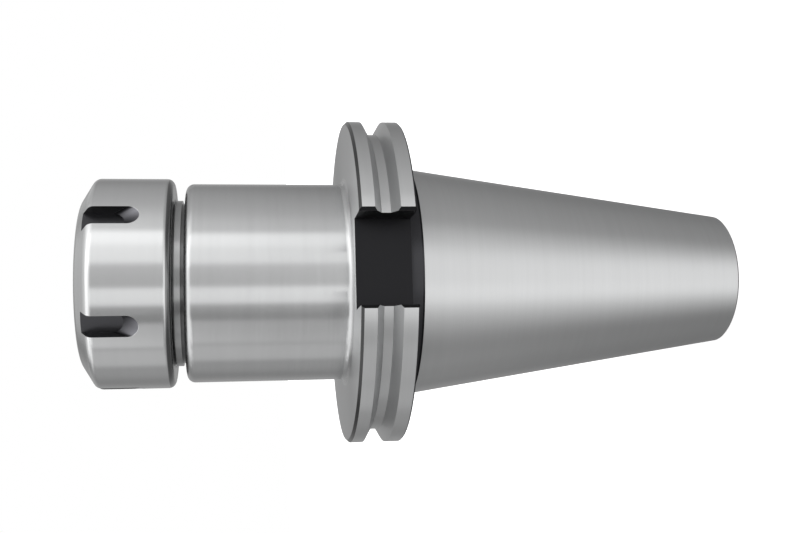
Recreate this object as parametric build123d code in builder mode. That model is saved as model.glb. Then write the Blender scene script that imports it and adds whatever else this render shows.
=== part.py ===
"""Collet chuck holder: a steep-taper shank with a V-groove flange, a 40-size collet and its clamping nut.

Sizes are in millimetres. The origin is the centre of the gauge plane, where the taper has its gauge
diameter. The holder stands on the small end of the taper, with +Z along the spindle axis towards the
nut, and its two drive keyways face -Y and +Y.
"""

import os
from math import cos, radians, sqrt, tan

from build123d import *

# Taper shank, the 7 in 24 cone that seats in the machine spindle
gauge_diameter = 69.85
taper_per_length = 7 / 24
taper_length = 101.6
taper_end_chamfer = 0.6
neck_below_gauge = 0.6
neck_relief = 0.45

# Flange, with the groove that a tool changer grips
flange_diameter = 98.43
flange_above_gauge = 3.175
flange_thickness = 15.875
flange_front_chamfer = 0.85
flange_back_chamfer = 0.4
groove_above_gauge = 11.1
groove_floor_width = 2.6
groove_depth = 3.9
groove_wall_angle = 30

# Drive keyways, one a little deeper than the other so that the holder seats one way round
keyway_width = 25.7
shallow_keyway_from_axis = 37.7
deep_keyway_from_axis = 35.3
keyway_mouth_chamfer = 1.2

# Hub between the flange and the nut
hub_diameter = 60
hub_length = 47.5
hub_root_fillet = 1.8
hub_end_round = 2.4

# Threaded nose: an undercut, a plain collar, then the thread, drawn at the root of its ridges
nose_length = 19.7
undercut_width = 1.1
collar_width = 1.7
thread_diameter = 50
thread_pitch = 1.5
nose_end_chamfer = 0.8

# Clamping nut
nut_diameter = 63
nut_length = 26.95
nut_standoff = 3.4
nut_front_diameter = 48.6
nut_front_chamfer = 4.45
nut_front_round = 5
nut_shoulder_round = 2.4
nut_back_round = 2.1
nut_thread_clearance = 0.05
nut_mouth_chamfer = 0.6
nut_relief_width = 1.5
nut_relief_depth = 0.4
nut_face_chamfer = 0.5

# Wrench slots around the nut, open towards its front, with a round end that slopes up from the floor
slot_count = 6
slot_width = 6.4
slot_floor_from_axis = 28.1
slot_back_wall = 8.65
slot_end_lean = 52

# Collet, its two cones, its groove and its slits
collet_length = 46
collet_diameter = 41
collet_bore_diameter = 20
collet_cone_angle = 8
collet_head_diameter = 40.4
collet_head_angle = 30
collet_face_diameter = 35.2
collet_head_land = 2.1
collet_groove_width = 3.0
collet_groove_depth = 2.2
collet_recess = 0.5
collet_end_chamfer = 0.8
collet_bore_chamfer = 0.5
slit_count = 8
slit_width = 1.1
slit_end_web = 6.5

# Fits of the collet in the nut and in the holder
cone_clearance = 0.12
head_clearance = 0.3

# Eccentric rib in the nut, which pulls the collet out of its cone
rib_diameter = 39
rib_offset = 0.8
rib_side_clearance = 0.2

# Bore behind the collet
cone_run_out = 3
nose_mouth_chamfer = 0.5
shank_bore_diameter = 28
shank_bore_depth = 78

# Stop screw, which sets how deep the tool's shank goes in
stop_screw_diameter = 22
stop_screw_length = 22
stop_screw_clearance = 0.1
stop_screw_below_bore = 4
stop_screw_chamfer = 1.0
stop_thread_length = 42
socket_across_flats = 10
socket_depth = 10
socket_hole_diameter = 5

# Drawbar end: the pilot and thread of the retention knob, and the coolant hole between the threads
knob_thread_diameter = 25.5
knob_thread_length = 45
knob_pilot_diameter = 26.4
knob_pilot_depth = 5
knob_pilot_chamfer = 1.0
coolant_hole_diameter = 12
drill_point_angle = 59

# Heights that follow from the sizes above
small_end = -taper_length
neck_start = -neck_below_gauge
flange_back = flange_above_gauge
flange_front = flange_back + flange_thickness
hub_end = flange_front + hub_length
collar_start = hub_end + undercut_width
thread_start = collar_start + collar_width
nose_end = hub_end + nose_length
nut_back = hub_end + nut_standoff
nut_front = nut_back + nut_length
collet_front = nut_front - collet_recess
collet_back = collet_front - collet_length

# Radii and slopes that follow from the sizes above
taper_slope = taper_per_length / 2
gauge_radius = gauge_diameter / 2
small_end_radius = gauge_radius - taper_length * taper_slope
neck_start_radius = gauge_radius - neck_below_gauge * taper_slope
neck_radius = neck_start_radius - neck_relief
flange_radius = flange_diameter / 2
hub_radius = hub_diameter / 2
thread_radius = thread_diameter / 2
thread_depth = 0.6134 * thread_pitch
nose_root_radius = thread_radius - thread_depth
nut_root_radius = thread_radius + nut_thread_clearance
nut_radius = nut_diameter / 2
collet_slope = tan(radians(collet_cone_angle))
head_slope = tan(radians(collet_head_angle))

# Collet heights: the head cone, the groove and the start of the long cone
head_cone_length = (collet_head_diameter - collet_face_diameter) / 2 / head_slope
head_back = collet_front - head_cone_length - collet_head_land
groove_back = head_back - collet_groove_width
groove_radius = collet_head_diameter / 2 - collet_groove_depth


def collet_cone_radius(height):
    """Radius of the collet's long cone at a height."""
    return collet_diameter / 2 - (groove_back - height) * collet_slope


def seat_cone_radius(height):
    """Radius of the holder's cone at a height, clear of the collet's cone by the fit."""
    return collet_cone_radius(height) + cone_clearance / cos(radians(collet_cone_angle))


# Holder body, outside: taper, neck, flange with its groove, hub and nose
groove_half_floor = groove_floor_width / 2
groove_half_mouth = groove_half_floor + groove_depth * tan(radians(groove_wall_angle))
groove_floor_radius = flange_radius - groove_depth
taper_chamfer_start = small_end + taper_end_chamfer
taper_chamfer_radius = small_end_radius + taper_end_chamfer * taper_slope

with BuildPart() as holder_body:
    with BuildSketch(Plane.XZ):
        with BuildLine():
            Polyline(
                (0, small_end),
                (small_end_radius - taper_end_chamfer, small_end),
                (taper_chamfer_radius, taper_chamfer_start),
                (neck_start_radius, neck_start),
                (neck_radius, neck_start + neck_relief),
                (neck_radius, flange_back),
                (flange_radius - flange_back_chamfer, flange_back),
                (flange_radius, flange_back + flange_back_chamfer),
                (flange_radius, groove_above_gauge - groove_half_mouth),
                (groove_floor_radius, groove_above_gauge - groove_half_floor),
                (groove_floor_radius, groove_above_gauge + groove_half_floor),
                (flange_radius, groove_above_gauge + groove_half_mouth),
                (flange_radius, flange_front - flange_front_chamfer),
                (flange_radius - flange_front_chamfer, flange_front),
                (hub_radius, flange_front),
                (hub_radius, hub_end),
                (nose_root_radius, hub_end),
                (nose_root_radius, collar_start),
                (thread_radius, collar_start),
                (thread_radius, thread_start),
                (nose_root_radius, thread_start),
                (nose_root_radius, nose_end - nose_end_chamfer),
                (nose_root_radius - nose_end_chamfer, nose_end),
                (0, nose_end),
                close=True,
            )
        make_face()
    revolve(axis=Axis.Z)
    turned_circles = holder_body.edges().filter_by(GeomType.CIRCLE)
    flange_face_circles = turned_circles.filter_by(lambda edge: abs(edge.center().Z - flange_front) < 0.01)
    fillet(flange_face_circles.sort_by(SortBy.LENGTH)[0], hub_root_fillet)
    turned_circles = holder_body.edges().filter_by(GeomType.CIRCLE)
    hub_end_circles = turned_circles.filter_by(lambda edge: abs(edge.center().Z - hub_end) < 0.01)
    fillet(hub_end_circles.sort_by(SortBy.LENGTH)[-1], hub_end_round)

    # Inside, from the nose down: collet seat, shank bore, stop thread, coolant hole, knob thread, pilot
    seat_end = collet_back - cone_run_out
    shank_bore_end = nose_end - shank_bore_depth
    stop_thread_end = shank_bore_end - stop_thread_length
    knob_thread_start = small_end + knob_pilot_depth
    knob_thread_end = knob_thread_start + knob_thread_length
    knob_radius = knob_thread_diameter / 2
    coolant_radius = coolant_hole_diameter / 2
    stop_bore_radius = stop_screw_diameter / 2 + stop_screw_clearance
    drill_point = (knob_radius - coolant_radius) / tan(radians(drill_point_angle))
    mouth_radius = seat_cone_radius(nose_end - nose_mouth_chamfer)
    with BuildSketch(Plane.XZ):
        with BuildLine():
            Polyline(
                (0, nose_end),
                (mouth_radius + nose_mouth_chamfer, nose_end),
                (mouth_radius, nose_end - nose_mouth_chamfer),
                (seat_cone_radius(seat_end), seat_end),
                (shank_bore_diameter / 2, seat_end - seat_cone_radius(seat_end) + shank_bore_diameter / 2),
                (shank_bore_diameter / 2, shank_bore_end),
                (stop_bore_radius, shank_bore_end - shank_bore_diameter / 2 + stop_bore_radius),
                (stop_bore_radius, stop_thread_end),
                (coolant_radius, stop_thread_end),
                (coolant_radius, knob_thread_end + drill_point),
                (knob_radius, knob_thread_end),
                (knob_radius, knob_thread_start),
                (knob_pilot_diameter / 2, knob_thread_start),
                (knob_pilot_diameter / 2, small_end + knob_pilot_chamfer),
                (knob_pilot_diameter / 2 + knob_pilot_chamfer, small_end),
                (0, small_end),
                close=True,
            )
        make_face()
    revolve(axis=Axis.Z, mode=Mode.SUBTRACT)

    # Drive keyways: straight through the flange, with their outer edges chamfered
    half_keyway = keyway_width / 2
    mouth_start = sqrt(flange_radius**2 - half_keyway**2) - keyway_mouth_chamfer
    mouth_flare = flange_radius - mouth_start
    for side, floor_from_axis in ((-1, deep_keyway_from_axis), (1, shallow_keyway_from_axis)):
        with BuildSketch(Plane.XY.offset(neck_start)):
            with BuildLine():
                Polyline(
                    (-half_keyway, side * floor_from_axis),
                    (-half_keyway, side * mouth_start),
                    (-half_keyway - mouth_flare, side * flange_radius),
                    (half_keyway + mouth_flare, side * flange_radius),
                    (half_keyway, side * mouth_start),
                    (half_keyway, side * floor_from_axis),
                    close=True,
                )
            make_face()
        extrude(amount=hub_end - neck_start, mode=Mode.SUBTRACT)
holder_body.part.label = "holder_body"

# Clamping nut: the turned ring, with its thread drawn at the root and its cone clear of the collet
nut_head_radius = collet_head_diameter / 2 + head_clearance
nut_cone_offset = cone_clearance / cos(radians(collet_head_angle))
nut_face_radius = collet_face_diameter / 2 + nut_cone_offset - collet_recess * head_slope
nut_cone_back = nut_front - (nut_head_radius - nut_face_radius) / head_slope
nut_mouth_radius = nut_face_radius + nut_face_chamfer * head_slope
rib_front = head_back - rib_side_clearance
rib_back = groove_back + rib_side_clearance
nut_relief_radius = nut_root_radius + nut_relief_depth

with BuildPart() as clamping_nut:
    with BuildSketch(Plane.XZ):
        with BuildLine():
            Polyline(
                (nut_mouth_radius + nut_face_chamfer, nut_front),
                (nut_front_diameter / 2, nut_front),
                (nut_radius, nut_front - nut_front_chamfer),
                (nut_radius, nut_back),
                (nut_root_radius + nut_mouth_chamfer, nut_back),
                (nut_root_radius, nut_back + nut_mouth_chamfer),
                (nut_root_radius, rib_back - nut_relief_width),
                (nut_relief_radius, rib_back - nut_relief_width),
                (nut_relief_radius, rib_back),
                (rib_diameter / 2 - rib_offset, rib_back),
                (rib_diameter / 2 - rib_offset, rib_front),
                (nut_head_radius, rib_front),
                (nut_head_radius, nut_cone_back),
                (nut_mouth_radius, nut_front - nut_face_chamfer),
                close=True,
            )
        make_face()
    revolve(axis=Axis.Z)
    with BuildSketch(Plane.XY.offset(rib_back)):
        with Locations((rib_offset, 0)):
            Circle(rib_diameter / 2)
    extrude(amount=rib_front - rib_back, mode=Mode.SUBTRACT)
    nut_shoulder = nut_front - nut_front_chamfer
    for height, nut_round in (
        (nut_front, nut_front_round),
        (nut_shoulder, nut_shoulder_round),
        (nut_back, nut_back_round),
    ):
        nut_circles = clamping_nut.edges().filter_by(GeomType.CIRCLE)
        level_circles = nut_circles.filter_by(lambda edge: abs(edge.center().Z - height) < 0.01)
        fillet(level_circles.sort_by(SortBy.LENGTH)[-1], nut_round)

    # Wrench slots: a round-ended channel cut outwards and backwards from its floor, repeated around the nut
    slot_depth = nut_radius - slot_floor_from_axis
    slot_run_out = slot_depth * tan(radians(slot_end_lean))
    slot_round_centre = nut_back + slot_back_wall + slot_width / 2 + slot_run_out
    slot_mouth = nut_front + slot_run_out
    for turn in range(slot_count):
        slot_plane = Plane.YZ.rotated((0, 0, turn * 360 / slot_count))
        with BuildSketch(slot_plane.offset(slot_floor_from_axis)):
            with Locations((0, slot_round_centre)):
                Circle(slot_width / 2)
            with Locations((0, (slot_round_centre + slot_mouth) / 2)):
                Rectangle(slot_width, slot_mouth - slot_round_centre)
        outwards = slot_plane.z_dir * slot_depth - Vector(0, 0, slot_run_out)
        extrude(amount=outwards.length, dir=outwards, mode=Mode.SUBTRACT)
clamping_nut.part.label = "clamping_nut"

# Collet: the turned sleeve, then slits cut in turn from its front and from its back
head_radius = collet_head_diameter / 2
bore_radius = collet_bore_diameter / 2
back_radius = collet_cone_radius(collet_back + collet_end_chamfer)

with BuildPart() as collet:
    with BuildSketch(Plane.XZ):
        with BuildLine():
            Polyline(
                (bore_radius + collet_bore_chamfer, collet_front),
                (collet_face_diameter / 2, collet_front),
                (head_radius, collet_front - head_cone_length),
                (head_radius, head_back),
                (groove_radius, head_back),
                (groove_radius, groove_back),
                (collet_diameter / 2, groove_back),
                (back_radius, collet_back + collet_end_chamfer),
                (back_radius - collet_end_chamfer, collet_back),
                (bore_radius + collet_bore_chamfer, collet_back),
                (bore_radius, collet_back + collet_bore_chamfer),
                (bore_radius, collet_front - collet_bore_chamfer),
                close=True,
            )
        make_face()
    revolve(axis=Axis.Z)
    slit_reach = collet_diameter / 2
    slit_half_pitch = 180 / slit_count
    for start, first_angle in ((collet_back + slit_end_web, 0), (collet_back, slit_half_pitch)):
        with BuildSketch(Plane.XY.offset(start)):
            with PolarLocations(slit_reach / 2, slit_count, start_angle=first_angle):
                Rectangle(slit_reach, slit_width)
        extrude(amount=collet_length - slit_end_web, mode=Mode.SUBTRACT)
collet.part.label = "collet"

# Stop screw: a set screw with a hexagon socket and a hole for coolant
stop_screw_top = shank_bore_end - stop_screw_below_bore
stop_screw_bottom = stop_screw_top - stop_screw_length

with BuildPart() as stop_screw:
    with BuildSketch(Plane.XY.offset(stop_screw_bottom)):
        Circle(stop_screw_diameter / 2)
    extrude(amount=stop_screw_length)
    chamfer(stop_screw.edges().filter_by(GeomType.CIRCLE), stop_screw_chamfer)
    with BuildSketch(Plane.XY.offset(stop_screw_top)):
        RegularPolygon(socket_across_flats / 2, 6, major_radius=False)
    extrude(amount=-socket_depth, mode=Mode.SUBTRACT)
    with BuildSketch(Plane.XY.offset(stop_screw_bottom)):
        Circle(socket_hole_diameter / 2)
    extrude(amount=stop_screw_length, mode=Mode.SUBTRACT)
stop_screw.part.label = "stop_screw"

os.makedirs("parts", exist_ok=True)
export_step(holder_body.part, "parts/holder_body.step")
export_step(clamping_nut.part, "parts/clamping_nut.step")
export_step(collet.part, "parts/collet.step")
export_step(stop_screw.part, "parts/stop_screw.step")
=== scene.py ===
"""Finishes, thread ridges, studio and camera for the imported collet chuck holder.

Lengths are in metres. The gauge plane of the taper is at height 0, the holder stands on the
small end of its taper, and +Z runs along the spindle axis towards the clamping nut.
"""

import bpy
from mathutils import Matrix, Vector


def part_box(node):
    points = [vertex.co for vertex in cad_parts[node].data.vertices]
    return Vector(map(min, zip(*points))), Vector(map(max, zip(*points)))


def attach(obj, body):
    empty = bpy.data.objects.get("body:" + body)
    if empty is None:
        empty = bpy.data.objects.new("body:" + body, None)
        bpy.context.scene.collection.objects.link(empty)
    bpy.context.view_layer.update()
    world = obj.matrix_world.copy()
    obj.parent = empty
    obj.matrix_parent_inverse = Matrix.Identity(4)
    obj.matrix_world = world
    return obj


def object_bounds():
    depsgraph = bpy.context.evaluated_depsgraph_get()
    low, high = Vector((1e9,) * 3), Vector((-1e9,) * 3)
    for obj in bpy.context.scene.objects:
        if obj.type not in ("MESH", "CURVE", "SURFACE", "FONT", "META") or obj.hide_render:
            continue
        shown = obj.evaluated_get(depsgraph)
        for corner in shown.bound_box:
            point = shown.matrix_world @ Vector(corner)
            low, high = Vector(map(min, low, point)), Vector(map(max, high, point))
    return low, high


bl_info = {
    "name": "Collet Chuck Holder",
    "version": (1, 0, 0),
    "blender": (4, 5, 0),
    "location": "View3D > Sidebar > Chuck Holder",
    "description": (
        "Gives a collet chuck holder its steel finishes, thread ridges, studio and camera"
    ),
    "category": "Object",
}

import math

import bmesh
import bpy
from bpy.props import FloatProperty, FloatVectorProperty, IntProperty, PointerProperty
from mathutils import Matrix, Vector

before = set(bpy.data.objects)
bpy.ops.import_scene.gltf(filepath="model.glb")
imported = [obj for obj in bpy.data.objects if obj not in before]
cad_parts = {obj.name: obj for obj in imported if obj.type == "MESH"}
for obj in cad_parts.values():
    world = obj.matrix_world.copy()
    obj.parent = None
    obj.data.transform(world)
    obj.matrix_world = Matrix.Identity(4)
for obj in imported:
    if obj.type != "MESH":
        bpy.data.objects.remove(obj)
cad_low, cad_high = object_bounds()
holder_low, holder_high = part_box("holder_body")
nut_low, nut_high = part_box("clamping_nut")

MM = 0.001
SOFT_EDGE = 0.03 * MM
NOSE_CREST_WIDTH = 0.16 * MM
FLANK_SPREAD = 2 * math.tan(math.radians(30))


class ChuckHolderSizes(bpy.types.PropertyGroup):
    """Sizes of the places where one finish gives way to another, and of the threads."""

    ground_taper_top: FloatProperty(
        name="Ground Taper Top",
        description="Height where the ground taper ends and the blackened neck starts",
        default=-0.6 * MM,
        unit="LENGTH",
    )
    flange_back: FloatProperty(
        name="Flange Back",
        description="Height of the flange's face on the taper side",
        default=3.175 * MM,
        unit="LENGTH",
    )
    flange_front: FloatProperty(
        name="Flange Front",
        description="Height of the flange's face on the nut side",
        default=19.05 * MM,
        unit="LENGTH",
    )
    flange_chamfer: FloatProperty(
        name="Flange Chamfer",
        description="Width of the chamfer on the flange's nut side",
        default=0.85 * MM,
        unit="LENGTH",
    )
    groove_floor: FloatProperty(
        name="Groove Floor",
        description="Distance from the axis to the floor of the gripper groove",
        default=45.315 * MM,
        unit="LENGTH",
    )
    keyway_width: FloatProperty(
        name="Keyway Width",
        description="Width of the two drive keyways",
        default=25.7 * MM,
        unit="LENGTH",
    )
    keyway_floor: FloatProperty(
        name="Keyway Floor",
        description="Distance from the axis to the deeper keyway's floor",
        default=35.3 * MM,
        unit="LENGTH",
    )
    keyway_mouth: FloatProperty(
        name="Keyway Mouth",
        description="Distance from the axis plane to the start of the keyway's edge chamfer",
        default=46.31 * MM,
        unit="LENGTH",
    )
    hub_end: FloatProperty(
        name="Hub End",
        description="Height of the hub's shoulder behind the nut",
        default=66.55 * MM,
        unit="LENGTH",
    )
    thread_start: FloatProperty(
        name="Thread Start",
        description="Height where the nose's thread starts, above its undercut and collar",
        default=69.35 * MM,
        unit="LENGTH",
    )
    thread_diameter: FloatProperty(
        name="Thread Diameter",
        description="Outer diameter of the nose's thread",
        default=49.9 * MM,
        unit="LENGTH",
    )
    thread_pitch: FloatProperty(
        name="Thread Pitch",
        description="Rise of the nose's and the nut's thread in one turn",
        default=1.5 * MM,
        unit="LENGTH",
    )
    knob_thread_pitch: FloatProperty(
        name="Knob Thread Pitch",
        description="Rise of the retention knob's thread in one turn",
        default=3.175 * MM,
        unit="LENGTH",
    )
    nut_shoulder: FloatProperty(
        name="Nut Shoulder",
        description="Height where the chamfer of the nut's front meets its outside",
        default=92.45 * MM,
        unit="LENGTH",
    )
    slot_width: FloatProperty(
        name="Slot Width",
        description="Width of the nut's wrench slots",
        default=6.4 * MM,
        unit="LENGTH",
    )
    slot_end: FloatProperty(
        name="Slot End",
        description="Height where the round ends of the wrench slots meet the nut's outside",
        default=78.6 * MM,
        unit="LENGTH",
    )
    slot_floor: FloatProperty(
        name="Slot Floor",
        description="Distance from the axis to the floor of the wrench slots",
        default=28.1 * MM,
        unit="LENGTH",
    )
    slot_count: IntProperty(
        name="Slot Count",
        description="Number of wrench slots around the nut",
        default=6,
    )


class ChuckHolderColours(bpy.types.PropertyGroup):
    """Colours of the finishes."""

    ground_steel: FloatVectorProperty(
        name="Ground Steel",
        description="Colour of the ground and turned steel",
        default=(0.595, 0.60, 0.603),
        subtype="COLOR",
        size=3,
    )
    black_oxide: FloatVectorProperty(
        name="Black Oxide",
        description="Colour of the blackened steel that was not ground",
        default=(0.026, 0.026, 0.028),
        subtype="COLOR",
        size=3,
    )
    floor: FloatVectorProperty(
        name="Floor",
        description="Colour of the studio floor",
        default=(0.8, 0.8, 0.8),
        subtype="COLOR",
        size=3,
    )


def sizes():
    """The sizes that the user can change."""
    return bpy.context.scene.chuck_holder_sizes


def colours():
    """The colours that the user can change."""
    return bpy.context.scene.chuck_holder_colours


def shade(colour, share):
    """A share of a colour, or a brighter one where the share is above 1."""
    return tuple(share * part for part in colour)


def feed(tree, socket, value):
    """Joins an output to an input, or sets the input."""
    if isinstance(value, bpy.types.NodeSocket):
        tree.links.new(value, socket)
    else:
        socket.default_value = value


def math_node(tree, operation, *values):
    """The result of a Math node."""
    node = tree.nodes.new("ShaderNodeMath")
    node.operation = operation
    for socket, value in zip(node.inputs, values):
        feed(tree, socket, value)
    return node.outputs[0]


class Finish:
    """A material's node tree, with short ways to add its nodes."""

    def __init__(self, name):
        self.material = bpy.data.materials.new(name)
        self.material.use_nodes = True
        self.tree = self.material.node_tree
        self.tree.nodes.clear()
        self.place = self.add("ShaderNodeTexCoord").outputs["Object"]
        self.x, self.y, self.z = self.add("ShaderNodeSeparateXYZ", Vector=self.place).outputs
        flat = self.vector(self.x, self.y, 0.0)
        self.radius = self.add("ShaderNodeVectorMath", "LENGTH", Vector=flat).outputs["Value"]

    def add(self, kind, operation=None, **inputs):
        """Adds a node and sets or joins its inputs by name."""
        node = self.tree.nodes.new(kind)
        if operation:
            node.operation = operation
        for name, value in inputs.items():
            feed(self.tree, node.inputs[name.replace("_", " ")], value)
        return node

    def vector(self, x, y, z):
        """A vector made from three values."""
        return self.add("ShaderNodeCombineXYZ", X=x, Y=y, Z=z).outputs[0]

    def calc(self, operation, *values):
        """The result of a Math node in this material."""
        return math_node(self.tree, operation, *values)

    def above(self, value, limit, blend=SOFT_EDGE):
        """A mask that rises from 0 to 1 where a value passes a limit."""
        ends = {"From_Min": limit - blend, "From_Max": limit + blend}
        return self.add("ShaderNodeMapRange", Value=value, **ends).outputs["Result"]

    def below(self, value, limit, blend=SOFT_EDGE):
        """A mask that falls from 1 to 0 where a value passes a limit."""
        return self.calc("SUBTRACT", 1.0, self.above(value, limit, blend))

    def within(self, value, low, high, blend=SOFT_EDGE):
        """A mask that is 1 between two limits."""
        return self.both(self.above(value, low, blend), self.below(value, high, blend))

    def both(self, *masks):
        """The masks multiplied, so 1 where all of them are."""
        result = masks[0]
        for mask in masks[1:]:
            result = self.calc("MULTIPLY", result, mask)
        return result

    def either(self, *masks):
        """The largest of the masks, so 1 where any of them is."""
        result = masks[0]
        for mask in masks[1:]:
            result = self.calc("MAXIMUM", result, mask)
        return result

    def pick(self, mask, off, on):
        """A value that goes from off to on with a mask."""
        return self.add("ShaderNodeMix", Factor=mask, A=off, B=on).outputs["Result"]

    def tint(self, mask, off, on):
        """A colour that goes from off to on with a mask."""
        node = self.add("ShaderNodeMix")
        node.data_type = "RGBA"
        feed(self.tree, node.inputs["Factor"], mask)
        colour_sockets = [socket for socket in node.inputs if socket.type == "RGBA"]
        for socket, value in zip(colour_sockets, (off, on)):
            joined = isinstance(value, bpy.types.NodeSocket)
            feed(self.tree, socket, value if joined else (*value, 1.0))
        return [socket for socket in node.outputs if socket.type == "RGBA"][0]

    def noise(self, vector, scale, detail, roughness=0.5):
        """Noise read at a vector, from 0 to 1."""
        inputs = {"Vector": vector, "Scale": scale, "Detail": detail, "Roughness": roughness}
        return self.add("ShaderNodeTexNoise", **inputs).outputs["Fac"]

    def turning_lines(self, spacing, drift=60.0):
        """Fine lines that run round the axis, as a tool or a wheel leaves them.

        A small drift makes them long. The radius counts too, so that a flat face gets rings.
        """
        radius_share = 1.37
        along = self.calc("ADD", self.z, self.calc("MULTIPLY", self.radius, radius_share))
        place = self.vector(
            self.calc("MULTIPLY", self.x, drift),
            self.calc("MULTIPLY", self.y, drift),
            self.calc("MULTIPLY", along, 1.0 / spacing),
        )
        return self.noise(place, scale=1.0, detail=3.0, roughness=0.65)

    def streaks(self, fine, broad, dull_share):
        """The ground steel's colour, duller in streaks that two sets of turning lines make."""
        ground = colours().ground_steel
        average = self.calc("MULTIPLY", self.calc("ADD", fine, broad), 0.5)
        return self.tint(average, shade(ground, dull_share), ground)

    def steel(self, colour, roughness, spread, lines, depth, stretch):
        """The shader of bare steel.

        The lines add up to spread to its roughness and dent it by depth. Stretch makes its
        reflections long across the lines.
        """
        quarter_turn = 0.25
        bump = self.add("ShaderNodeBump", Strength=1.0, Distance=depth, Height=lines)
        around = self.vector(self.calc("MULTIPLY", self.y, -1.0), self.x, 0.0)
        tangent = self.add("ShaderNodeVectorMath", "NORMALIZE", Vector=around).outputs["Vector"]
        surface = self.add(
            "ShaderNodeBsdfPrincipled",
            Base_Color=colour,
            Metallic=1.0,
            Roughness=self.calc("ADD", roughness, self.calc("MULTIPLY", lines, spread)),
            Normal=bump.outputs["Normal"],
            Anisotropic=stretch,
            Anisotropic_Rotation=quarter_turn,
            Tangent=tangent,
        )
        self.add("ShaderNodeOutputMaterial", Surface=surface.outputs["BSDF"])
        return self.material


def keyway_mask(finish):
    """The floors, the walls and the flared edges of the two drive keyways."""
    size = sizes()
    back_margin, front_margin = 0.1 * MM, 0.02 * MM
    floor_margin, wall_margin, flare_margin = 0.2 * MM, 0.04 * MM, 0.06 * MM
    x_side = finish.calc("ABSOLUTE", finish.x)
    y_side = finish.calc("ABSOLUTE", finish.y)
    half_keyway = size.keyway_width / 2
    on_flange = finish.within(
        finish.z, size.flange_back - back_margin, size.flange_front + front_margin
    )
    past_floor = finish.above(y_side, size.keyway_floor - floor_margin)
    walls = finish.both(on_flange, past_floor, finish.below(x_side, half_keyway + wall_margin))
    flare = half_keyway - size.keyway_mouth
    across = finish.calc("SUBTRACT", x_side, y_side)
    on_flare = finish.within(across, flare - flare_margin, flare + flare_margin)
    past_mouth = finish.above(y_side, size.keyway_mouth)
    return finish.either(walls, finish.both(on_flange, past_mouth, on_flare))


def holder_finish():
    """Ground taper, hub and flange lands, with black oxide where no wheel has been, and painted
    shade in the hollows and gaps.
    """
    size = sizes()
    finish = Finish("holder_ground_steel")
    height, radius = finish.z, finish.radius
    back, front, chamfer = size.flange_back, size.flange_front, size.flange_chamfer
    hair = 0.02 * MM
    neck_overlap = 0.42 * MM
    rim_margin = 0.3 * MM
    land_margin = 1.0 * MM
    groove_margin = 0.08 * MM
    face_radius = 32.0 * MM
    face_below, face_above = 0.03 * MM, 0.2 * MM
    hub_margin = 0.3 * MM
    undercut_start, undercut_end = 0.05 * MM, 1.08 * MM

    keyways = keyway_mask(finish)
    neck = finish.within(height, size.ground_taper_top + hair, back + neck_overlap)
    flange_edge_shade = finish.both(
        finish.within(height, front - chamfer + hair, front - hair),
        finish.above(radius, holder_high.x - chamfer - rim_margin),
    )
    groove = finish.both(
        finish.within(height, back + land_margin, front - land_margin),
        finish.below(radius, size.groove_floor + groove_margin),
    )
    face = finish.both(
        finish.within(height, front - face_below, front + face_above),
        finish.above(radius, face_radius),
    )
    undercut = finish.within(
        height, size.hub_end + undercut_start, size.hub_end + undercut_end
    )
    collar = finish.within(height, size.hub_end + undercut_end, size.thread_start)
    nose_root_shade = finish.above(height, size.thread_start)
    on_taper = finish.below(height, size.ground_taper_top)
    on_hub = finish.above(height, front + hub_margin)

    lines = finish.turning_lines(spacing=0.22 * MM)
    broad = finish.turning_lines(spacing=2.4 * MM, drift=12.0)
    ground, black = colours().ground_steel, colours().black_oxide
    colour = finish.streaks(lines, broad, dull_share=0.86)
    # Where it is, what colour it has, and what share of that colour. The darker shares of the
    # groove floor, the collar, the undercut, the nose and the flange's chamfer are painted shade.
    for mask, base, share in (
        # Painted shade in the recess of the groove floor.
        (groove, ground, 0.8),
        (face, ground, 0.93),
        # Painted shade on the collar, in the narrow gap between the hub and the nut.
        (collar, ground, 0.55),
        # Painted shade in the undercut and on the nose between the thread ridges.
        (finish.either(undercut, nose_root_shade), ground, 0.2),
        # Painted shade: a dark line along the flange's nut-side chamfer.
        (flange_edge_shade, ground, 0.12),
        (neck, black, 2.6),
        (keyways, black, 1.0),
    ):
        colour = finish.tint(mask, colour, shade(base, share))
    roughness = 0.27
    for mask, place_roughness in (
        (on_taper, 0.3),
        (on_hub, 0.2),
        (face, 0.36),
        (finish.either(keyways, neck), 0.5),
    ):
        roughness = finish.pick(mask, roughness, place_roughness)
    return finish.steel(
        colour, roughness, spread=0.06, lines=lines, depth=0.004 * MM, stretch=0.8
    )


def wrench_slots(finish):
    """A mask of the nut's wrench slots, and the colour inside them.

    Walls and floor are painted shade, and the run-out at the round end gets lighter as it climbs.
    """
    size = sizes()
    side_margin, floor_margin, end_margin = 0.02 * MM, 0.05 * MM, 0.05 * MM
    rim_margin = 0.06 * MM
    floor_height = 0.06 * MM
    corner = 0.25 * MM
    turn = finish.calc("ARCTAN2", finish.y, finish.x)
    pitch = 2 * math.pi / size.slot_count
    folded = finish.calc("PINGPONG", turn, pitch / 2)
    aside = finish.calc("MULTIPLY", finish.radius, finish.calc("SINE", folded))
    outward = finish.calc("MULTIPLY", finish.radius, finish.calc("COSINE", folded))
    half_slot = size.slot_width / 2
    inside = finish.both(
        finish.below(aside, half_slot + side_margin),
        finish.above(outward, size.slot_floor - floor_margin),
        finish.above(finish.z, size.slot_end - end_margin),
        finish.below(finish.radius, nut_high.x - rim_margin),
    )
    on_floor = finish.below(outward, size.slot_floor + floor_height)
    run_out = finish.below(aside, half_slot - corner, blend=corner)
    halfway = (size.slot_floor + nut_high.x) / 2
    climb = finish.above(outward, halfway, blend=(nut_high.x - size.slot_floor) / 2)
    # The slot's dark tones are painted shade, and the run-out's lighter top is painted light.
    floor_shade_share, run_out_light_share = 3.2, 9.5
    black = colours().black_oxide
    slot_floor_shade = finish.tint(
        finish.both(run_out, climb), shade(black, floor_shade_share), shade(black, run_out_light_share)
    )
    return inside, finish.tint(finish.either(on_floor, run_out), black, slot_floor_shade)


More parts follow.
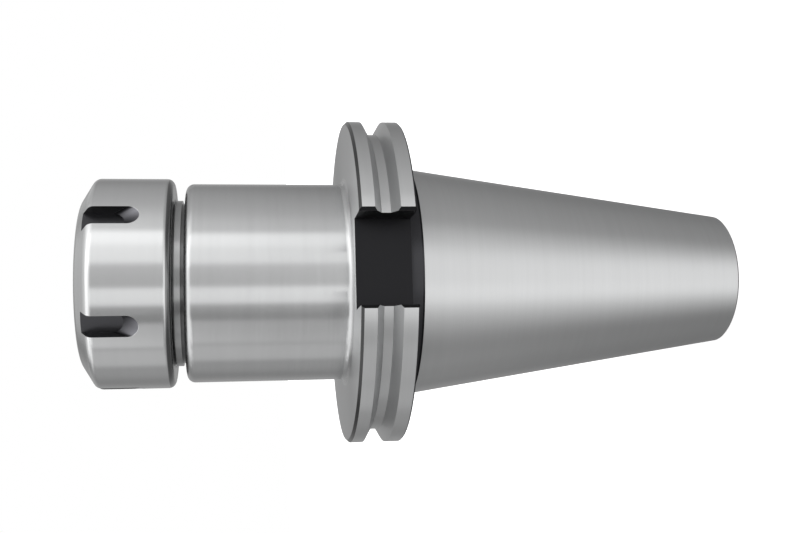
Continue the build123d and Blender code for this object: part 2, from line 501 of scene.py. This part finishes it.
def nut_finish():
    """Fine turned and polished steel, with painted shade in the wrench slots and at the back end,
    and a painted highlight at the front shoulder.
    """
    finish = Finish("nut_polished_steel")
    back_band, back_blend = 1.4 * MM, 0.12 * MM
    shoulder_low, shoulder_high, shoulder_blend = 0.4 * MM, 1.0 * MM, 0.4 * MM
    shoulder_highlight_share, painted_back_shade_share = 1.28, 0.34
    # The roughness of bare steel and of the slots; the slots' dark colour is painted shade.
    polished, blackened = 0.18, 0.45
    in_slot, slot_shade_colour = wrench_slots(finish)
    # A band at the nut's back end, by the hub, which gets painted shade.
    behind = finish.below(finish.z, nut_low.z + back_band, back_blend)
    nut_shoulder = sizes().nut_shoulder
    shoulder = finish.within(
        finish.z, nut_shoulder - shoulder_low, nut_shoulder + shoulder_high, shoulder_blend
    )
    lines = finish.turning_lines(spacing=0.18 * MM)
    broad = finish.turning_lines(spacing=1.9 * MM, drift=12.0)
    ground = colours().ground_steel
    colour = finish.streaks(lines, broad, dull_share=0.9)
    # A painted highlight: the band round the front shoulder is brighter than the steel.
    colour = finish.tint(shoulder, colour, shade(ground, shoulder_highlight_share))
    # Painted shade: the nut's back end band is darker than the steel.
    colour = finish.tint(behind, colour, shade(ground, painted_back_shade_share))
    # Painted shade inside the wrench slots.
    colour = finish.tint(in_slot, colour, slot_shade_colour)
    roughness = finish.pick(in_slot, polished, blackened)
    return finish.steel(
        colour, roughness, spread=0.05, lines=lines, depth=0.003 * MM, stretch=0.8
    )


def lined_finish(name, spacing, dull_share, roughness, spread):
    """Steel whose colour and gloss change only with its fine turning lines."""
    finish = Finish(name)
    lines = finish.turning_lines(spacing)
    ground = colours().ground_steel
    colour = finish.tint(lines, shade(ground, dull_share), ground)
    return finish.steel(
        colour, roughness, spread=spread, lines=lines, depth=0.003 * MM, stretch=0.5
    )


def collet_finish():
    """Fine ground spring steel."""
    return lined_finish(
        "collet_ground_steel", spacing=0.15 * MM, dull_share=0.82, roughness=0.2, spread=0.06
    )


def thread_finish():
    """Bright flanks of a cut thread."""
    return lined_finish(
        "thread_cut_steel", spacing=0.12 * MM, dull_share=0.75, roughness=0.22, spread=0.08
    )


def stop_screw_finish():
    """Black oxide with a faint grain."""
    finish = Finish("stop_screw_black_oxide")
    worn_share = 3.0
    grain = finish.noise(finish.place, scale=1800.0, detail=3.0)
    black = colours().black_oxide
    colour = finish.tint(grain, black, shade(black, worn_share))
    return finish.steel(
        colour, roughness=0.38, spread=0.12, lines=grain, depth=0.004 * MM, stretch=0.0
    )


def thread_ridge(name, root, crest, crest_width, pitch, start, end):
    """A ridge that climbs round the axis, from its root radius to its crest radius.

    The ridge's section, with 60 degrees between its flanks, is spun and lifted a pitch in each
    turn, sunk a little into its root, and trimmed flat at both ends.
    """
    steps_in_turn = 96
    weld = 0.0005 * MM
    sink = math.copysign(0.04 * MM, crest - root)
    root_width = crest_width + abs(crest - root) * FLANK_SPREAD
    turns = math.ceil((end - start) / pitch) + 1
    section = (
        (root - sink, -root_width / 2),
        (root, -root_width / 2),
        (crest, -crest_width / 2),
        (crest, crest_width / 2),
        (root, root_width / 2),
        (root - sink, root_width / 2),
    )
    mesh = bmesh.new()
    corners = [
        mesh.verts.new((radius, 0.0, start - pitch + height)) for radius, height in section
    ]
    outline = mesh.faces.new(corners)
    bmesh.ops.spin(
        mesh,
        geom=[outline, *outline.edges, *outline.verts],
        axis=(0, 0, 1),
        dvec=(0, 0, pitch / steps_in_turn),
        angle=2 * math.pi * turns,
        steps=steps_in_turn * turns,
        use_merge=False,
        use_duplicate=False,
    )
    for height, outward in ((start, -1), (end, 1)):
        cut = bmesh.ops.bisect_plane(
            mesh,
            geom=[*mesh.verts, *mesh.edges, *mesh.faces],
            plane_co=(0, 0, height),
            plane_no=(0, 0, outward),
            clear_outer=True,
        )
        rim = [edge for edge in cut["geom_cut"] if isinstance(edge, bmesh.types.BMEdge)]
        bmesh.ops.holes_fill(mesh, edges=rim, sides=0)
    bmesh.ops.remove_doubles(mesh, verts=mesh.verts, dist=weld)
    bmesh.ops.recalc_face_normals(mesh, faces=mesh.faces)
    return new_object(name, mesh)


def new_object(name, mesh):
    """An object in the scene that holds a finished bmesh."""
    data = bpy.data.meshes.new(name)
    mesh.to_mesh(data)
    mesh.free()
    piece = bpy.data.objects.new(name, data)
    bpy.context.scene.collection.objects.link(piece)
    return piece


def nose_thread():
    """The outer thread of the holder's nose. Its root is the solid's wall."""
    size = sizes()
    run_out = 0.8 * MM
    return thread_ridge(
        "nose_thread",
        root=24.08 * MM,
        crest=size.thread_diameter / 2,
        crest_width=NOSE_CREST_WIDTH,
        pitch=size.thread_pitch,
        start=size.thread_start,
        end=holder_high.z - run_out,
    )


def nut_thread():
    """The nut's inner thread. It fills the nose thread's gaps but for a little play."""
    size = sizes()
    play = 0.06 * MM
    mouth, depth = 0.6 * MM, 14.4 * MM
    crest = 24.2 * MM
    pitch = size.thread_pitch
    nose_width = NOSE_CREST_WIDTH + (size.thread_diameter / 2 - crest) * FLANK_SPREAD
    return thread_ridge(
        "nut_thread",
        root=25.05 * MM,
        crest=crest,
        crest_width=pitch - 2 * play - nose_width,
        pitch=pitch,
        start=nut_low.z + mouth + pitch / 2,
        end=nut_low.z + depth,
    )


def knob_thread():
    """The inner thread for the retention knob, in the taper's small end."""
    mouth, depth = 5.0 * MM, 50.0 * MM
    return thread_ridge(
        "knob_thread",
        root=12.75 * MM,
        crest=11.1 * MM,
        crest_width=0.5 * MM,
        pitch=sizes().knob_thread_pitch,
        start=holder_low.z + mouth,
        end=holder_low.z + depth,
    )


def dress(node, material):
    """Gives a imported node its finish, and leaves its mesh as it is."""
    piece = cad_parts[node]
    if not piece.material_slots:
        raise RuntimeError(f"{node} has no material slot")
    for holder in piece.material_slots:
        holder.material = material


class CHUCKHOLDER_OT_holder_finish(bpy.types.Operator):
    """Give the holder body its ground steel and black oxide"""

    bl_idname = "chuckholder.holder_finish"
    bl_label = "Finish Holder Body"

    def execute(self, context):
        dress("holder_body", holder_finish())
        return {"FINISHED"}


class CHUCKHOLDER_OT_nut_finish(bpy.types.Operator):
    """Give the clamping nut its polished steel and slots darkened by painted shade"""

    bl_idname = "chuckholder.nut_finish"
    bl_label = "Finish Clamping Nut"

    def execute(self, context):
        dress("clamping_nut", nut_finish())
        return {"FINISHED"}


class CHUCKHOLDER_OT_inner_finish(bpy.types.Operator):
    """Give the collet and the stop screw their finishes"""

    bl_idname = "chuckholder.inner_finish"
    bl_label = "Finish Collet and Stop Screw"

    def execute(self, context):
        dress("collet", collet_finish())
        dress("stop_screw", stop_screw_finish())
        return {"FINISHED"}


class CHUCKHOLDER_OT_threads(bpy.types.Operator):
    """Cut the ridges of the nose's, the nut's and the retention knob's threads"""

    bl_idname = "chuckholder.threads"
    bl_label = "Cut Threads"

    def execute(self, context):
        material = thread_finish()
        for piece, body, steel in (
            (nose_thread(), "holder", "holder_steel"),
            (nut_thread(), "nut", "nut_steel"),
            (knob_thread(), "holder", "holder_steel"),
        ):
            piece.data.materials.append(material)
            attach(piece, body)
        return {"FINISHED"}


# Soft panels of the studio light. Turn is the angle round the tool in degrees, from the front
# keyway's side towards the image's top. Lean is the sine of the slope towards the nut. Each of the
# two has a middle, a half width and a soft edge. The levels add up, and one takes light away.
STUDIO_AMBIENT = 0.30
STUDIO_PANELS = (
    {"name": "top fill", "turn": (40, 15, 100), "lean": (0.35, 0.45, 0.75), "level": 0.46},
    {"name": "upper fill", "turn": (80, 30, 60), "lean": (0.5, 0.45, 0.2), "level": 0.2},
    {"name": "middle fill", "turn": (15, 44, 20), "lean": (0.3, 0.35, 0.3), "level": 0.15},
    {"name": "key strip", "turn": (32, 15, 7), "lean": (0.3, 0.3, 0.4), "level": 0.62},
    {"name": "key core", "turn": (42, 4, 8), "lean": (0.3, 0.3, 0.4), "level": 0.25},
    {"name": "nut glow", "turn": (62, 10, 20), "lean": (0.4, 0.2, 0.15), "level": 0.35},
    {"name": "front strip", "turn": (-22, 7, 5), "lean": (0.1, 0.35, 0.12), "level": 0.75},
    {"name": "low strip", "turn": (-66, 12, 5), "lean": (0.15, 0.35, 0.2), "level": 0.24},
    {"name": "low nut strip", "turn": (-65, 13, 4), "lean": (0.35, 0.2, 0.12), "level": 0.5},
    {"name": "low fill", "turn": (-102, 16, 38), "lean": (0.1, 0.35, 0.2), "level": 0.28},
    {"name": "low core", "turn": (-95, 8, 9), "lean": (0.2, 0.35, 0.15), "level": 0.3},
    {"name": "taper panel", "turn": (-11, 15, 58), "lean": (-0.68, 0.38, 0.1), "level": 1.32},
    {"name": "shoulder panel", "turn": (-26, 79, 30), "lean": (0.78, 0.28, 0.15), "level": 0.7},
    {"name": "shoulder core", "turn": (-70, 30, 40), "lean": (0.62, 0.2, 0.12), "level": 0.22},
    {"name": "end glow", "turn": (0, 180, 1), "lean": (0.95, 0.2, 0.12), "level": 0.52},
    {"name": "back shade", "turn": (0, 180, 1), "lean": (-1.0, 0.12, 0.1), "level": -0.22},
    {"name": "back glow above", "turn": (180, 20, 25), "lean": (0.1, 0.3, 0.3), "level": 0.24},
    {"name": "back glow below", "turn": (-180, 20, 25), "lean": (0.1, 0.3, 0.3), "level": 0.19},
    {"name": "back top", "turn": (150, 10, 25), "lean": (0.55, 0.15, 0.15), "level": 0.15},
)


class CHUCKHOLDER_OT_stage(bpy.types.Operator):
    """Set up the floor, the studio light and the camera"""

    bl_idname = "chuckholder.stage"
    bl_label = "Set Up Stage"

    def execute(self, context):
        studio_world()
        studio_floor()
        studio_lamp()
        studio_camera()
        context.scene.view_settings.view_transform = "Standard"
        return {"FINISHED"}


def soft_window(tree, value, middle, half_width, edge):
    """A mask that is 1 near a middle and falls softly to 0 beyond its half width."""
    away = math_node(tree, "ABSOLUTE", math_node(tree, "SUBTRACT", value, middle))
    fall = tree.nodes.new("ShaderNodeMapRange")
    fall.interpolation_type = "SMOOTHSTEP"
    for name, end in (
        ("Value", away),
        ("From Min", half_width),
        ("From Max", half_width + edge),
        ("To Min", 1.0),
        ("To Max", 0.0),
    ):
        feed(tree, fall.inputs[name], end)
    return fall.outputs["Result"]


def choose_by_ray(tree, ray, output, others, chosen):
    """Sends one shader to the output for one kind of ray, and another for all others."""
    path = tree.nodes.new("ShaderNodeLightPath")
    mix = tree.nodes.new("ShaderNodeMixShader")
    tree.links.new(path.outputs[ray], mix.inputs["Fac"])
    tree.links.new(others.outputs[0], mix.inputs[1])
    tree.links.new(chosen.outputs[0], mix.inputs[2])
    surface = tree.nodes.new(output).inputs["Surface"]
    tree.links.new(mix.outputs[0], surface)


def studio_world():
    """A soft studio whose brightness changes round the tool, white to the camera."""
    world = bpy.data.worlds.new("studio")
    bpy.context.scene.world = world
    world.use_nodes = True
    tree = world.node_tree
    tree.nodes.clear()
    direction = tree.nodes.new("ShaderNodeTexCoord").outputs["Generated"]
    parts = tree.nodes.new("ShaderNodeSeparateXYZ")
    tree.links.new(direction, parts.inputs[0])
    lean = parts.outputs["Z"]
    forwards = math_node(tree, "MULTIPLY", parts.outputs["Y"], -1.0)
    turn = math_node(tree, "DEGREES", math_node(tree, "ARCTAN2", parts.outputs["X"], forwards))
    total = STUDIO_AMBIENT
    for panel in STUDIO_PANELS:
        turned = soft_window(tree, turn, *panel["turn"])
        leaning = soft_window(tree, lean, *panel["lean"])
        shape = math_node(tree, "MULTIPLY", turned, leaning)
        shape.node.label = panel["name"]
        total = math_node(tree, "MULTIPLY_ADD", shape, panel["level"], total)
    studio = tree.nodes.new("ShaderNodeBackground")
    tree.links.new(total, studio.inputs["Strength"])
    white = tree.nodes.new("ShaderNodeBackground")
    white.inputs["Color"].default_value = (1.0, 1.0, 1.0, 1.0)
    choose_by_ray(tree, "Is Camera Ray", "ShaderNodeOutputWorld", others=studio, chosen=white)


def studio_floor():
    """A pale floor under the small end, white to the camera but for the holder's shadow."""
    floor_gap = 0.05 * MM
    camera_glow = 0.62
    mesh = bmesh.new()
    bmesh.ops.create_circle(mesh, cap_ends=True, segments=96, radius=3.0)
    bmesh.ops.translate(mesh, verts=mesh.verts, vec=(0, 0, cad_low.z - floor_gap))
    floor = new_object("studio_floor", mesh)
    material = bpy.data.materials.new("studio_floor_paint")
    material.use_nodes = True
    tree = material.node_tree
    tree.nodes.clear()
    paint = tree.nodes.new("ShaderNodeBsdfDiffuse")
    paint.inputs["Color"].default_value = (*colours().floor, 1.0)
    path = tree.nodes.new("ShaderNodeLightPath")
    glow = tree.nodes.new("ShaderNodeEmission")
    lift = math_node(tree, "MULTIPLY", path.outputs["Is Camera Ray"], camera_glow)
    tree.links.new(lift, glow.inputs["Strength"])
    lit = tree.nodes.new("ShaderNodeAddShader")
    tree.links.new(paint.outputs[0], lit.inputs[0])
    tree.links.new(glow.outputs[0], lit.inputs[1])
    clear = tree.nodes.new("ShaderNodeBsdfTransparent")
    choose_by_ray(tree, "Is Glossy Ray", "ShaderNodeOutputMaterial", others=lit, chosen=clear)
    floor.data.materials.append(material)


def studio_lamp():
    """One large soft lamp for the floor's shadow, aimed at the origin."""
    light = bpy.data.lights.new("softbox", "AREA")
    light.shape = "DISK"
    light.size = 0.9
    light.energy = 6.0
    lamp = bpy.data.objects.new("softbox", light)
    lamp.visible_glossy = False
    bpy.context.scene.collection.objects.link(lamp)
    lamp.location = (0.5, -0.7, 1.1)
    lamp.rotation_euler = (-lamp.location).to_track_quat("-Z", "Y").to_euler()


def studio_camera():
    """The photograph's viewpoint: the tool lies across the frame, with its nut at the left."""
    image_width = 800
    sensor_width = 36.0
    focal_pixels = 1088.74
    along = 52.09 * MM
    distance = 334.69 * MM
    lift = -33.94 * MM
    yaw, pitch, roll = math.radians(-8.643), math.radians(6.508), math.radians(1.393)
    keyway_above_camera = math.radians(2.277)
    to_camera = Vector((-math.sin(keyway_above_camera), -math.cos(keyway_above_camera), 0.0))
    image_up = Vector((0, 0, 1)).cross(to_camera)
    image_right = Vector((0, 0, -1))
    square_on = Matrix((image_right, -to_camera, image_up)).transposed()
    yawed, pitched, rolled = (
        Matrix.Rotation(angle, 3, axis) for angle, axis in ((yaw, "Z"), (pitch, "X"), (roll, "Y"))
    )
    camera_axes = Matrix(((1, 0, 0), (0, 0, -1), (0, 1, 0)))
    pose = (square_on @ (yawed @ pitched @ rolled) @ camera_axes).to_4x4()
    pose.translation = square_on @ Vector((-along, -distance, lift))
    data = bpy.data.cameras.new("camera")
    data.sensor_width = sensor_width
    data.lens = focal_pixels / image_width * sensor_width
    camera = bpy.data.objects.new("camera", data)
    bpy.context.scene.collection.objects.link(camera)
    camera.matrix_world = pose
    bpy.context.scene.camera = camera


class CHUCKHOLDER_PT_panel(bpy.types.Panel):
    """The sidebar panel that lists the steps and their sizes"""

    bl_label = "Collet Chuck Holder"
    bl_idname = "CHUCKHOLDER_PT_panel"
    bl_space_type = "VIEW_3D"
    bl_region_type = "UI"
    bl_category = "Chuck Holder"

    def draw(self, context):
        layout = self.layout
        for step in STEPS:
            layout.operator(step.bl_idname)
        for group in (sizes(), colours()):
            for name in group.__annotations__:
                layout.prop(group, name)


STEPS = (
    CHUCKHOLDER_OT_holder_finish,
    CHUCKHOLDER_OT_nut_finish,
    CHUCKHOLDER_OT_inner_finish,
    CHUCKHOLDER_OT_threads,
    CHUCKHOLDER_OT_stage,
)
CLASSES = (ChuckHolderSizes, ChuckHolderColours, *STEPS, CHUCKHOLDER_PT_panel)


def register():
    """Registers the classes and hangs the settings on the scene."""
    for cls in CLASSES:
        bpy.utils.register_class(cls)
    bpy.types.Scene.chuck_holder_sizes = PointerProperty(type=ChuckHolderSizes)
    bpy.types.Scene.chuck_holder_colours = PointerProperty(type=ChuckHolderColours)


def unregister():
    """Takes the settings off the scene and unregisters the classes."""
    del bpy.types.Scene.chuck_holder_colours
    del bpy.types.Scene.chuck_holder_sizes
    for cls in reversed(CLASSES):
        bpy.utils.unregister_class(cls)


def main():
    """Runs every step in order."""
    register()
    bpy.ops.chuckholder.holder_finish()
    bpy.ops.chuckholder.nut_finish()
    bpy.ops.chuckholder.inner_finish()
    bpy.ops.chuckholder.threads()
    bpy.ops.chuckholder.stage()
    bpy.context.view_layer.update()


if __name__ == "__main__":
    main()
